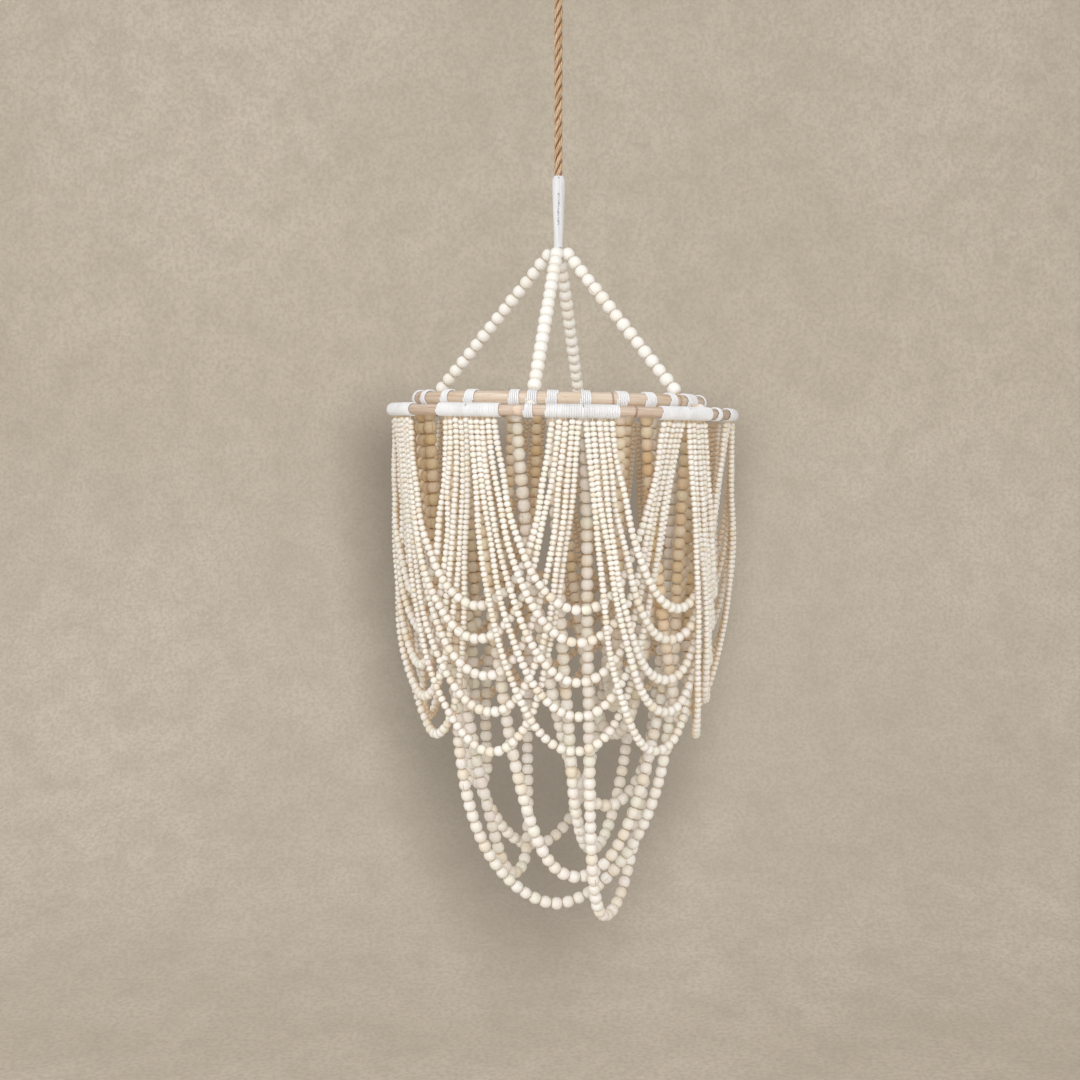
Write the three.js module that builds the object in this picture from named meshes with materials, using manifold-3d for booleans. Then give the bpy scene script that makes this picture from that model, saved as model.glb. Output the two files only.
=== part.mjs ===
// A beaded chandelier. Two cane rings hang from a rope by four strings of large wooden beads.
// The outer ring carries a curtain of small-bead swags and the upper ring carries loops of large beads.
// Millimetres, +Z up. The origin is the middle of the ceiling plate's top face.
import * as THREE from "three";
import Module from "manifold-3d";

const wasm = await Module();
wasm.setup();

// Clearances
const seatGap = 0.3;
const woundGap = 0.9; // between a cane's facets and the cotton wound on it
const overrun = 1;
const weld = 1e-4; // points nearer than this are one point

// Ceiling fitting
const plateDiameter = 62;
const plateThickness = 4;
const plateEdge = 1.2;
const bossDiameter = 17;
const bossHeight = 6;
const screwSpacing = 40;
const screwHole = 4.6;
const screwHead = 8;
const screwHeadHeight = 2.4;
const screwShank = 3.8;
const screwSlot = 1.1;
const screwFaceShare = 0.6;
const hookWire = 6;
const hookBend = 13;
const hookNeck = 10;
const hookTip = 7.5;
const hookBendDegrees = [115, 150, 185, 217, 249, 281, 313, 342, 370];

// Rope, with the eye that hangs on the hook
const ropeDiameter = 12;
const ropeLength = 256;
const eyeBend = 14;
const eyeLegs = 50;
const eyeArcDegrees = [105, 80, 55, 30, 5, -20];
const eyeLegOffset = 3.8; // the two legs press into one another where they enter the whipping
const eyeLegShares = [0.7, 0.3]; // heights of a leg's two bends, as shares of eyeBend
const eyeSpreadShare = 1.3; // how much wider than eyeLegOffset the legs are at the upper bend
const whippingDiameter = 21;
const whippingLength = 22;
const whippingGroove = 1.2;
const whippingTurns = 4;
const whippingTaper = 3.6; // the foot slopes up from its middle, so the rope can sway under it

// Sleeve and the knot under it
const sleeveLength = 98;
const sleeveTop = 17;
const sleeveFoot = 12.4;
const sleeveShoulder = 6;
const shoulderShares = [0.62, 0.9]; // how wide the rounded shoulder is at its top and a little below
const shoulderFallShare = 0.3; // how far below, as a share of sleeveShoulder
const waistShare = 0.97;
const waistFallShare = 0.3;
const cuffShare = 0.12; // the straight foot, as a share of sleeveLength
const knotDiameter = 21;
const knotHeight = 12;

// Rings
const crownRise = 231; // outer ring's centre line to the sleeve's foot
const outerRadius = 240;
const outerCane = 14;
const ringInset = 42;
const upperRadius = outerRadius - ringInset;
const upperCane = 18;
const ringRise = 16; // upper ring's centre line above the outer ring's
const outerShift = 5; // the outer ring hangs a little to the right of the rope
const upperShift = 1;
const ringTilt = THREE.MathUtils.degToRad(1); // both rings hang a little low on the right

// Large beads of the suspension strings and the inner loops
const largeBead = 17;
const stringCord = 4.4;
const stringSeatShare = 0.375; // how much of its cord's width a slanting string's end reaches inward
const stringBeads = 16;
const beadFaceShares = [0.27, 0.73]; // where a bead's full width starts and ends along its pitch
const loopBead = 15.6;

// Narrow cotton lashings on the upper ring, and the ties from ring to ring
const lashingWidth = 10;
const cottonWall = 1.6;
const tieCord = 4;
const tieBead = 11;
const tieFaceShare = 0.25; // where the bead's full width starts, from its middle
const tieClear = 1.8; // between a tie's lashing and the wide wrap beside it

// Wide wraps on the outer ring: each is wound in two halves, and each half holds one set's strand ends
const setCount = 10;
const wrapLength = 92;
const strandsInSet = 5;
const endPitch = 8.3;
const strandTop = 7.2;
const strandLow = 11;
const curtainDrop = 440;
const firstWrap = THREE.MathUtils.degToRad(6);
const curtainInset = 43; // how far inside the ring the deepest swag's foot hangs
const swagDropShares = [0.56, 0.66, 0.775, 0.88, 1];
const swagInsetShares = [0.44, 0.55, 0.69, 0.85, 1];
const overPower = 4; // the half that lies over the next set stays near the ring's radius
const underPower = 0.6; // the half that lies under it draws in soon

// Inner loops: where each lashing sits round the upper ring, in degrees from the front, to the right
const lashingDegrees = [
  -62.8, -47.2, -34.7, -16.5, -2.6, 9.5, 23.3, 35.2, 47, 62, 78, 91.5, 105,
  119, 133, 147, 160, 179, 190, 202, 215, 227, 238.5, 254, 269, 284,
];
const stringDegrees = [-10, 58, 170.5, 250];
const loopDrop = 730;
const loopLean = 4; // how far to the right of its lashings a loop's foot hangs
// Each loop: its two lashings, its depth as a share of loopDrop, and three shares of the upper ring's radius:
// how full its sides are, how far its foot sways along its span, and how far it is pushed across it
const loopShares = [
  [1, 9, 0.971, 0.15, -0.06, 0.395],
  [2, 10, 0.892, -0.03, -0.055, 0.08],
  [3, 11, 0.763, -0.04, 0.09, 0.135],
  [4, 14, 0.857, -0.025, -0.065, 0.075],
  [0, 18, 0.922, -0.15, -0.185, -0.31],
  [25, 15, 0.901, 0.01, 0.07, 0.045],
  [5, 13, 0.987, -0.03, -0.06, 0.17],
  [24, 19, 0.781, -0.22, 0.04, -0.035],
  [6, 16, 0.584, 0, 0, 0],
  [7, 12, 0.589, -0.08, -0.01, -0.095],
  [8, 17, 0.652, -0.02, 0.03, 0],
  [20, 23, 0.626, -0.15, 0.005, 0.09],
  [21, 22, 0.453, 0, 0.03, 0.185],
];

// Facets
const caneSides = 8;
const outerCaneSteps = 50;
const upperCaneSteps = 40;
const strandSides = 5;
const strandSteps = 9;
const loopSteps = 14;
const roundSides = 20;
const smallSides = 12;
const ropeSides = 8;
const ropeSteps = 8;
const chainPower = 1.35; // steps crowd together at the foot of a hanging chain
const chainBracket = 60; // a chain's curve is sought between its half span times and divided by this
const chainRounds = 60;

// Heights, from the ceiling down
const plateUnder = -plateThickness;
const hookCentre = plateUnder - bossHeight - hookNeck - hookBend;
const wireHeight = hookCentre - hookBend;
const whippingTop = wireHeight - eyeLegs;
const whippingFoot = whippingTop - whippingLength;
const ropeTop = whippingFoot - seatGap;
const ropeFoot = ropeTop - ropeLength;
const sleeveHigh = ropeFoot - seatGap;
const sleeveLow = sleeveHigh - sleeveLength;
const ringHeight = sleeveLow - crownRise;
const upperHeight = ringHeight + ringRise;

const UP = new THREE.Vector3(0, 0, 1);
const fullest = 4 ** 4 / 3 ** 3; // makes depth^3 (1 - depth) peak at 1

// The rings and all that hangs from them is shaped level and centred, then hung askew: the right side lower
// and each ring a little to the right, with every strand still plumb.
const askew = (shift) =>
  new THREE.Matrix4().set(
    1, 0, 0, shift,
    0, 1, 0, 0,
    -Math.tan(ringTilt), 0, 1, 0,
    0, 0, 0, 1,
  );
const outerAskew = askew(outerShift);
const upperAskew = askew(upperShift);

// A point at an angle from the front, to the right, on a circle about the axis.
function roundPoint(angle, radius, height) {
  return new THREE.Vector3(
    radius * Math.sin(angle),
    -radius * Math.cos(angle),
    height,
  );
}

// Solids from points and triangles.
function solidFrom(points, triangles) {
  const vertProperties = new Float32Array(points.length * 3);
  points.forEach((p, i) => vertProperties.set([p.x, p.y, p.z], i * 3));
  const triVerts = new Uint32Array(triangles.flat());
  return new wasm.Manifold(
    new wasm.Mesh({ numProp: 3, vertProperties, triVerts }),
  );
}

// A closed geometry from three.js, such as a lathe, as a solid.
function solidOf(geometry) {
  const flat = geometry.index ? geometry.toNonIndexed() : geometry;
  const position = flat.getAttribute("position");
  const keys = new Map();
  const points = [];
  const order = [];
  for (let i = 0; i < position.count; i += 1) {
    const p = new THREE.Vector3().fromBufferAttribute(position, i);
    const key = p.toArray().map((v) => Math.round(v / weld)).join();
    if (!keys.has(key)) {
      keys.set(key, points.length);
      points.push(p);
    }
    order.push(keys.get(key));
  }
  const triangles = [];
  for (let i = 0; i < order.length; i += 3) {
    const [a, b, c] = order.slice(i, i + 3);
    if (a !== b && b !== c && c !== a) triangles.push([a, b, c]);
  }
  return solidFrom(points, triangles);
}

function geometryOf(solid) {
  const mesh = solid.getMesh();
  const geometry = new THREE.BufferGeometry();
  const position = new THREE.BufferAttribute(mesh.vertProperties, 3);
  geometry.setAttribute("position", position);
  geometry.setIndex(new THREE.BufferAttribute(mesh.triVerts, 1));
  geometry.computeVertexNormals();
  return geometry;
}

function joined(solids) {
  return solids.reduce((whole, next) => whole.add(next));
}

// One ring of points about a path point. side is a direction that the path never runs along.
function sectionAt(point, tangent, side, radius, sides, turn) {
  const first = new THREE.Vector3().crossVectors(side, tangent).normalize();
  const second = new THREE.Vector3().crossVectors(tangent, first);
  return Array.from({ length: sides }, (_, j) => {
    const a = turn + (2 * Math.PI * j) / sides;
    return point
      .clone()
      .addScaledVector(first, radius * Math.cos(a))
      .addScaledVector(second, radius * Math.sin(a));
  });
}

function tangentAt(path, i, closed) {
  const count = path.length;
  const next = closed ? path[(i + 1) % count] : path[Math.min(i + 1, count - 1)];
  const last = closed ? path[(i + count - 1) % count] : path[Math.max(i - 1, 0)];
  return new THREE.Vector3().subVectors(next, last).normalize();
}

function band(triangles, low, high, sides) {
  for (let j = 0; j < sides; j += 1) {
    const k = (j + 1) % sides;
    triangles.push([low + j, low + k, high + k], [low + j, high + k, high + j]);
  }
}

// A round bar along an open path, with a radius for each point.
function bar(path, radii, side, sides, turn = 0) {
  const points = path.flatMap((p, i) =>
    sectionAt(p, tangentAt(path, i, false), side, radii[i], sides, turn),
  );
  const triangles = [];
  for (let i = 0; i + 1 < path.length; i += 1)
    band(triangles, i * sides, (i + 1) * sides, sides);
  const top = (path.length - 1) * sides;
  for (let j = 1; j + 1 < sides; j += 1) {
    triangles.push([0, j + 1, j]);
    triangles.push([top, top + j, top + j + 1]);
  }
  return solidFrom(points, triangles);
}

// A round bar bent into a level ring.
function ringBar(radius, height, thickness, steps, sides) {
  const path = Array.from({ length: steps }, (_, i) =>
    roundPoint((2 * Math.PI * i) / steps, radius, height),
  );
  const points = path.flatMap((p, i) =>
    sectionAt(p, tangentAt(path, i, true), UP, thickness, sides, Math.PI / sides),
  );
  const triangles = [];
  for (let i = 0; i < steps; i += 1)
    band(triangles, i * sides, ((i + 1) % steps) * sides, sides);
  return solidFrom(points, triangles);
}

// Cotton wound round a ring from one angle to another: a curved tube with a flat underside.
function winding(from, to, radius, height, inner, outer, steps) {
  const path = Array.from({ length: steps + 1 }, (_, i) =>
    roundPoint(from + ((to - from) * i) / steps, radius, height),
  );
  const turn = Math.PI / caneSides;
  const shell = (size) =>
    path.flatMap((p) => {
      const tangent = new THREE.Vector3(-p.y, p.x, 0).normalize();
      return sectionAt(p, tangent, UP, size, caneSides, turn);
    });
  const points = [...shell(outer), ...shell(inner)];
  const half = points.length / 2;
  const triangles = [];
  const inside = [];
  for (let i = 0; i < steps; i += 1) {
    band(triangles, i * caneSides, (i + 1) * caneSides, caneSides);
    band(inside, half + i * caneSides, half + (i + 1) * caneSides, caneSides);
  }
  triangles.push(...inside.map(([a, b, c]) => [a, c, b]));
  const last = steps * caneSides;
  band(triangles, half, 0, caneSides);
  band(triangles, last, half + last, caneSides);
  return solidFrom(points, triangles);
}

// A revolved piece from its outline as [radius, height] pairs, from its top on the axis to its foot on the axis.
function turned(outline, sides = roundSides) {
  const profile = outline.map(([r, z]) => new THREE.Vector2(r, z)).reverse();
  const lathe = new THREE.LatheGeometry(profile, sides);
  return solidOf(lathe.rotateX(Math.PI / 2));
}

// The hanging curve of a chain with its ends level: along the span from -half to half, and its depth share.
function hangingChain(half, drop, steps) {
  let flat = half * chainBracket;
  let tight = half / chainBracket;
  for (let i = 0; i < chainRounds; i += 1) {
    const middle = Math.sqrt(flat * tight);
    const depth = middle * (Math.cosh(half / middle) - 1);
    if (depth > drop) tight = middle;
    else flat = middle;
  }
  const reach = Math.sinh(half / flat);
  return Array.from({ length: steps + 1 }, (_, i) => {
    const p = (2 * i) / steps - 1;
    const along = flat * Math.asinh(reach * Math.sign(p) * Math.abs(p) ** chainPower);
    const rise = flat * (Math.cosh(along / flat) - 1);
    return { along, depth: 1 - rise / drop };
  });
}

// Ceiling fitting
function ceilingPlate() {
  const r = plateDiameter / 2;
  const plate = turned([
    [0, 0],
    [r, 0],
    [r, plateUnder + plateEdge],
    [r - plateEdge, plateUnder],
    [bossDiameter / 2, plateUnder],
    [bossDiameter / 2, plateUnder - bossHeight],
    [0, plateUnder - bossHeight],
  ]);
  const holes = [-1, 1].map((s) =>
    turned([
      [0, overrun],
      [screwHole / 2, overrun],
      [screwHole / 2, plateUnder - overrun],
      [0, plateUnder - overrun],
    ]).translate([(s * screwSpacing) / 2, 0, 0]),
  );
  return plate.subtract(joined(holes));
}

function plateScrew() {
  const head = screwHead / 2;
  const seat = plateUnder - seatGap;
  const face = seat - screwHeadHeight;
  const outline = [
    [0, 0],
    [screwShank / 2, 0],
    [screwShank / 2, seat],
    [head, seat],
    [head, seat - screwHeadHeight / 2],
    [head * screwFaceShare, face],
    [0, face],
  ];
  const slot = new THREE.BoxGeometry(screwHead + overrun, screwSlot, screwHeadHeight);
  return turned(outline, smallSides).subtract(solidOf(slot.translate(0, 0, face)));
}

// The hook's open end points up on the right, so the eye can be lifted off.
function ceilingHook() {
  const top = plateUnder - bossHeight - seatGap;
  const bend = (degrees) => {
    const a = THREE.MathUtils.degToRad(degrees);
    return new THREE.Vector3(
      hookBend * Math.cos(a),
      0,
      hookCentre + hookBend * Math.sin(a),
    );
  };
  const path = [
    new THREE.Vector3(0, 0, top),
    new THREE.Vector3(0, 0, hookCentre + hookBend + hookWire / 2),
    ...hookBendDegrees.map(bend),
  ];
  const side = new THREE.Vector3(0, 1, 0);
  const radii = path.map(() => hookWire / 2);
  const tip = new THREE.SphereGeometry(hookTip / 2, ropeSides, ropeSides / 2);
  const end = path[path.length - 1];
  return bar(path, radii, side, ropeSides).add(
    solidOf(tip.translate(end.x, end.y, end.z)),
  );
}

// The eye: the rope goes over the hook's wire and both legs run into the whipping. One half is mirrored.
function ropeEye() {
  const thick = ropeDiameter / 2;
  const centre = wireHeight + hookWire / 2 + woundGap + thick - eyeBend;
  const foot = whippingTop + seatGap;
  const arc = eyeArcDegrees.map((degrees) => {
    const a = THREE.MathUtils.degToRad(degrees);
    const y = eyeBend * Math.cos(a);
    return new THREE.Vector3(0, y, centre + eyeBend * Math.sin(a));
  });
  const [upper, lower] = eyeLegShares.map((share) => foot + eyeBend * share);
  const leg = [
    new THREE.Vector3(0, eyeLegOffset * eyeSpreadShare, upper),
    new THREE.Vector3(0, eyeLegOffset, lower),
    new THREE.Vector3(0, eyeLegOffset, foot),
  ];
  const path = [...arc, ...leg];
  const side = new THREE.Vector3(1, 0, 0);
  const right = bar(path, path.map(() => thick), side, ropeSides).trimByPlane([0, 1, 0], 0);
  return right.add(right.mirror([0, 1, 0]));
}

function eyeWhipping() {
  const r = whippingDiameter / 2;
  const pitch = whippingLength / whippingTurns;
  const outline = [[0, whippingTop]];
  for (let i = 0; i < whippingTurns; i += 1) {
    const z = whippingTop - i * pitch;
    outline.push([r - whippingGroove, z], [r, z - pitch / 2]);
  }
  outline.pop();
  outline.push([r, whippingFoot + whippingTaper], [0, whippingFoot]);
  return turned(outline, smallSides);
}

function rope() {
  const path = Array.from(
    { length: ropeSteps + 1 },
    (_, i) => new THREE.Vector3(0, 0, ropeFoot + (ropeLength * i) / ropeSteps),
  );
  const side = new THREE.Vector3(1, 0, 0);
  return bar(path, path.map(() => ropeDiameter / 2), side, ropeSides);
}

function sleeve() {
  const r = sleeveTop / 2;
  const outline = [
    [0, sleeveHigh],
    [r * shoulderShares[0], sleeveHigh],
    [r * shoulderShares[1], sleeveHigh - sleeveShoulder * shoulderFallShare],
    [r, sleeveHigh - sleeveShoulder],
    [r * waistShare, sleeveHigh - sleeveLength * waistFallShare],
    [sleeveFoot / 2, sleeveLow + sleeveLength * cuffShare],
    [sleeveFoot / 2, sleeveLow],
    [0, sleeveLow],
  ];
  return turned(outline, smallSides);
}

function crownKnot() {
  const knot = new THREE.SphereGeometry(knotDiameter / 2, 2 * ropeSides, ropeSides);
  knot.rotateX(Math.PI / 2);
  knot.scale(1, 1, knotHeight / knotDiameter);
  knot.translate(0, 0, sleeveLow - seatGap - knotHeight / 2);
  return solidOf(knot);
}

// A suspension string: beads threaded on a cord, from beside the knot to its lashing on the upper ring.
function suspensionString(degrees) {
  const angle = THREE.MathUtils.degToRad(degrees);
  const seat = upperCane / 2 + cottonWall + woundGap;
  const foot = roundPoint(angle, upperRadius, upperHeight).applyMatrix4(upperAskew);
  const start = roundPoint(
    angle,
    knotDiameter / 2 + stringCord * stringSeatShare,
    sleeveLow - seatGap - knotHeight / 2,
  );
  const way = new THREE.Vector3().subVectors(foot, start);
  const length = way.length() - seat;
  way.normalize();
  const pitch = length / stringBeads;
  const path = [];
  const radii = [];
  for (let i = 0; i < stringBeads; i += 1) {
    for (const [share, size] of [
      [0, stringCord],
      ...beadFaceShares.map((face) => [face, largeBead]),
    ]) {
      path.push(start.clone().addScaledVector(way, (i + share) * pitch));
      radii.push(size / 2);
    }
  }
  path.push(start.clone().addScaledVector(way, length));
  radii.push(stringCord / 2);
  const side = new THREE.Vector3(Math.cos(angle), Math.sin(angle), 0);
  return bar(path, radii, side, strandSides);
}

function lashing(angle, radius, height, cane) {
  const half = lashingWidth / 2 / radius;
  const inner = cane / 2 + woundGap;
  const outer = inner + cottonWall;
  return winding(angle - half, angle + half, radius, height, inner, outer, 1);
}

// Where a tie holds the outer ring: under its string, or just beside a wide wrap that is in the way.
function besideWrap(angle) {
  const step = (2 * Math.PI) / setCount;
  const wrap = firstWrap + Math.round((angle - firstWrap) / step) * step;
  const clear = (wrapLength / 2 + tieClear + lashingWidth / 2) / outerRadius;
  const away = angle - wrap;
  return Math.abs(away) < clear ? wrap + Math.sign(away) * clear : angle;
}

// A tie: a lashing on each ring, with a knotted cord between them that carries the outer ring.
function ringTie(degrees) {
  const upperAngle = THREE.MathUtils.degToRad(degrees);
  const outerAngle = besideWrap(upperAngle);
  const high = roundPoint(upperAngle, upperRadius, upperHeight).applyMatrix4(upperAskew);
  const low = roundPoint(outerAngle, outerRadius, ringHeight).applyMatrix4(outerAskew);
  const way = new THREE.Vector3().subVectors(low, high).normalize();
  const upperSkin = upperCane / 2 + woundGap + cottonWall / 2;
  const outerSkin = outerCane / 2 + woundGap + cottonWall / 2;
  const start = high.clone().addScaledVector(way, upperSkin);
  const end = low.clone().addScaledVector(way, -outerSkin);
  const middle = start.clone().lerp(end, 0.5);
  const bead = (share) => middle.clone().addScaledVector(way, share * tieBead);
  const faces = [-0.5, -tieFaceShare, tieFaceShare, 0.5];
  const path = [start, ...faces.map(bead), end];
  const cord = tieCord / 2;
  const knot = tieBead / 2;
  const side = new THREE.Vector3(Math.cos(upperAngle), Math.sin(upperAngle), 0);
  const radii = [cord, cord, knot, knot, cord, cord];
  return joined([
    lashing(upperAngle, upperRadius, upperHeight, upperCane).transform(upperAskew.elements),
    lashing(outerAngle, outerRadius, ringHeight, outerCane).transform(outerAskew.elements),
    bar(path, radii, side, strandSides),
  ]);
}

// One swag of small beads between two wraps. Its left half lies over the neighbouring set's right half.
function swag(centre, number) {
  const spare = (strandsInSet - 0.5 - number) * (endPitch / outerRadius);
  const half = (2 * Math.PI) / setCount - spare;
  const plane = outerRadius * Math.cos(half);
  const drop = curtainDrop * swagDropShares[number];
  const inset = curtainInset * swagInsetShares[number];
  const top = ringHeight - outerCane / 2 - woundGap - cottonWall / 2;
  const curve = hangingChain(outerRadius * Math.sin(half), drop, strandSteps);
  const path = curve.map(({ along, depth }) => {
    const turn = Math.atan2(along, plane);
    const drawnIn = inset * depth ** (along < 0 ? overPower : underPower);
    return roundPoint(centre + turn, outerRadius - drawnIn, top - drop * depth);
  });
  const radii = curve.map(
    ({ depth }) => (strandTop + (strandLow - strandTop) * depth ** 2) / 2,
  );
  const side = roundPoint(centre, 1, 0);
  return bar(path, radii, side, strandSides);
}

// A set: five nested swags and the two half wraps that hold their ends.
function swagSet(index) {
  const step = (2 * Math.PI) / setCount;
  const centre = firstWrap + index * step;
  const reach = wrapLength / 2 / outerRadius;
  const split = seatGap / 2 / outerRadius;
  const inner = outerCane / 2 + woundGap * 0.9;
  const outer = inner + cottonWall;
  const wraps = [
    [centre - step + split, centre - step + reach],
    [centre + step - reach, centre + step - split],
  ].map(([from, to]) =>
    winding(from, to, outerRadius, ringHeight, inner, outer, 2),
  );
  const swags = swagDropShares.map((_, number) => swag(centre, number));
  return joined([...wraps, ...swags]).transform(outerAskew.elements);
}

// An inner loop of large beads with its two lashings.
function innerLoop([from, to, dropShare, fullShare, swayShare, pushShare]) {
  const angles = [from, to].map((i) =>
    THREE.MathUtils.degToRad(lashingDegrees[i]),
  );
  const top = upperHeight - upperCane / 2 - woundGap - cottonWall / 2;
  const [a, b] = angles.map((angle) => roundPoint(angle, upperRadius, top));
  const span = new THREE.Vector3().subVectors(b, a);
  const half = span.length() / 2;
  const along = span.clone().normalize();
  const across = new THREE.Vector3(-along.y, along.x, 0);
  const middle = a.clone().lerp(b, 0.5);
  const drop = loopDrop * dropShare;
  const path = hangingChain(half, drop, loopSteps).map((p) => {
    const low = p.depth ** 2;
    const full = fullShare * fullest * low * p.depth * (1 - p.depth);
    const shift = full * Math.sign(p.along) + swayShare * low;
    return middle
      .clone()
      .addScaledVector(along, p.along + shift * upperRadius)
      .addScaledVector(across, pushShare * low * upperRadius)
      .add(new THREE.Vector3(loopLean * low, 0, -drop * p.depth));
  });
  const strand = bar(path, path.map(() => loopBead / 2), across, strandSides);
  const lashings = angles.map((angle) =>
    lashing(angle, upperRadius, upperHeight, upperCane),
  );
  return joined([...lashings, strand]).transform(upperAskew.elements);
}

// Finishes
const finish = (color, roughness, metalness = 0) =>
  new THREE.MeshStandardMaterial({ color, roughness, metalness });
const steel = finish(0xb9b6ae, 0.35, 0.9);
const jute = finish(0xc59a62, 0.9);
const cotton = finish(0xefece6, 0.85);
const paleCane = finish(0xdcc29c, 0.6);
const pinkCane = finish(0xc5a488, 0.55);
const largeWood = finish(0xeadfcb, 0.6);
const smallWood = finish(0xefe6d6, 0.6);

function piece(name, solid, material) {
  const mesh = new THREE.Mesh(geometryOf(solid), material);
  mesh.name = name;
  return mesh;
}

const number = (i) => String(i + 1).padStart(2, "0");

const fitting = new THREE.Group();
fitting.add(piece("ceiling_plate", ceilingPlate(), steel));
fitting.add(piece("ceiling_hook", ceilingHook(), steel));
["left", "right"].forEach((name, i) => {
  const screw = piece("plate_screw_" + name, plateScrew(), steel);
  screw.position.x = (i - 0.5) * screwSpacing;
  fitting.add(screw);
});

const line = new THREE.Group();
line.add(piece("rope_eye", ropeEye(), jute));
line.add(piece("eye_whipping", eyeWhipping(), cotton));
line.add(piece("rope", rope(), jute));
line.add(piece("sleeve", sleeve(), cotton));

const crown = new THREE.Group();
crown.add(piece("crown_knot", crownKnot(), cotton));
["front", "right", "back", "left"].forEach((name, i) => {
  const string = suspensionString(stringDegrees[i]);
  crown.add(piece("suspension_string_" + name, string, largeWood));
});

const shade = new THREE.Group();
const outerRing = ringBar(
  outerRadius,
  ringHeight,
  outerCane / 2,
  outerCaneSteps,
  caneSides,
).transform(outerAskew.elements);
const upperRing = ringBar(
  upperRadius,
  upperHeight,
  upperCane / 2,
  upperCaneSteps,
  caneSides,
).transform(upperAskew.elements);
shade.add(piece("outer_ring", outerRing, pinkCane));
shade.add(piece("upper_ring", upperRing, paleCane));
["front", "right", "back", "left"].forEach((name, i) => {
  shade.add(piece("ring_tie_" + name, ringTie(stringDegrees[i]), cotton));
});
for (let i = 0; i < setCount; i += 1)
  shade.add(piece("swag_set_" + number(i), swagSet(i), smallWood));
loopShares.forEach((shares, i) => {
  shade.add(piece("inner_loop_" + number(i), innerLoop(shares), largeWood));
});

const chandelier = new THREE.Group();
chandelier.add(fitting, line, crown, shade);

export default chandelier;
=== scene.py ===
from math import cos, cosh, pi, radians, sin, sinh, sqrt, tan

import bpy
import numpy as np
from mathutils import Matrix, Vector


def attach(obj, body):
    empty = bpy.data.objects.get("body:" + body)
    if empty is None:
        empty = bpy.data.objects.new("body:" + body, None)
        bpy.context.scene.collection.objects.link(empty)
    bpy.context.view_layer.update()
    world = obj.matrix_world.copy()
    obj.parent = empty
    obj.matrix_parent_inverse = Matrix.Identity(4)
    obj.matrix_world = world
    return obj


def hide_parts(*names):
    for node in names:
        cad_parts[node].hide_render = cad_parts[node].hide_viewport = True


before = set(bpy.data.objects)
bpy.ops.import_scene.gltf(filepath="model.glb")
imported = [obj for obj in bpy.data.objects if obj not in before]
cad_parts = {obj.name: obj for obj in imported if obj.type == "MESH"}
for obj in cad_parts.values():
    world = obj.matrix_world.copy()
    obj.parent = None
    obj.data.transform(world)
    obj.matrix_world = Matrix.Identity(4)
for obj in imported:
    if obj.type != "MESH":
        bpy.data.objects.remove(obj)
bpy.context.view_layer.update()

# The beaded chandelier, dressed: two cane rings on a rope, a curtain of small wooden beads and loops of
# large ones. Lengths are in millimetres, as in the part's source, and become metres where a mesh is made.
MM = 0.001
TURN = 2 * pi

# Rope, with its eye and whipping
rope_diameter = 12
rope_length = 256
rope_top = -118.3
rope_foot = rope_top - rope_length
rope_lay = 52
rope_fullness = rope_diameter + 0.8
strand_share = 0.245
yarns = 7
yarn_relief = 0.16
yarn_pitch = 18
eye_bend = 14
eye_leg = 3.8
eye_buried = 3
whipping_top = -96
whipping_foot = -118
whipping_diameter = 21
whipping_cord = 2.16
whipping_pitch = 2.15

# Sleeve and the knot under it
sleeve_high = -374.6
sleeve_length = 98
sleeve_low = sleeve_high - sleeve_length
sleeve_top = 17
sleeve_foot = 12.4
sleeve_mouth = 12.2
gather_length = 26
seam_rise = 0.75
stitch_start = 25
stitch_pitch = 4.1
stitch_count = 11
stitch_radius = 0.27
tack_radius = 0.5
knot_diameter = 21
knot_height = 12
knot_cord = 2.2
knot_turns = 7

# Ceiling fitting
plate_diameter = 62
plate_thickness = 4
plate_edge = 1.2
boss_diameter = 17
boss_height = 6
screw_spacing = 40
screw_hole = 4.6
screw_head = 8
screw_head_height = 2.4
screw_slot = 1.1
screw_slot_depth = 1.1
hook_wire = 6
hook_bend = 13
hook_neck = 10
hook_tip = 7.5
collar_length = 2.2
collar_rise = 1.6
hook_centre = -plate_thickness - boss_height - hook_neck - hook_bend
wire_height = hook_centre - hook_bend

# Rings. A ring is its radius, height, shift and cane.
crown_rise = 231
outer_radius = 240
outer_cane = 14
ring_inset = 42
upper_radius = outer_radius - ring_inset
upper_cane = 18
ring_rise = 16
outer_shift = 5
upper_shift = 1
ring_tilt = radians(1)
ring_height = sleeve_low - crown_rise
upper_height = ring_height + ring_rise
outer = (outer_radius, ring_height, outer_shift, outer_cane)
upper = (upper_radius, upper_height, upper_shift, upper_cane)
outer_knuckles = [22.1, 60.5, 96, 143, 188, 226, 262, 301, 334]
upper_knuckles = [19.6, 52, 86, 127, 172, 208, 247, 291, 343]
lap_joint = -14.6

# Beads, cords and clearances
string_bead = 19
string_beads = 16
string_lift = 3.5
loop_bead = 17
small_bead = 8.6
foot_bead = 13.8
tie_bead = 12.5
tie_bead_length = 11.5
cotton = 2.1
lashing_cotton = 2.5
lashing_widths = (12.5, 15)
tie_widths = (12.5, 11.5)
seat_gap = 0.3
wound_gap = 0.9
cotton_wall = 1.6

# Curtain
set_count = 10
wrap_length = 92
strands_in_set = 5
end_pitch = 8.3
curtain_drop = 440
first_wrap = radians(6)
curtain_inset = 43
swag_drop_shares = [0.56, 0.66, 0.775, 0.88, 1]
swag_inset_shares = [0.44, 0.55, 0.69, 0.85, 1]
over_power = 4
under_power = 0.6
swag_stray = 2.6
swag_slump = 5.5
growth_start = 12
growth_length = 210
chain_points = 400

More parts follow.
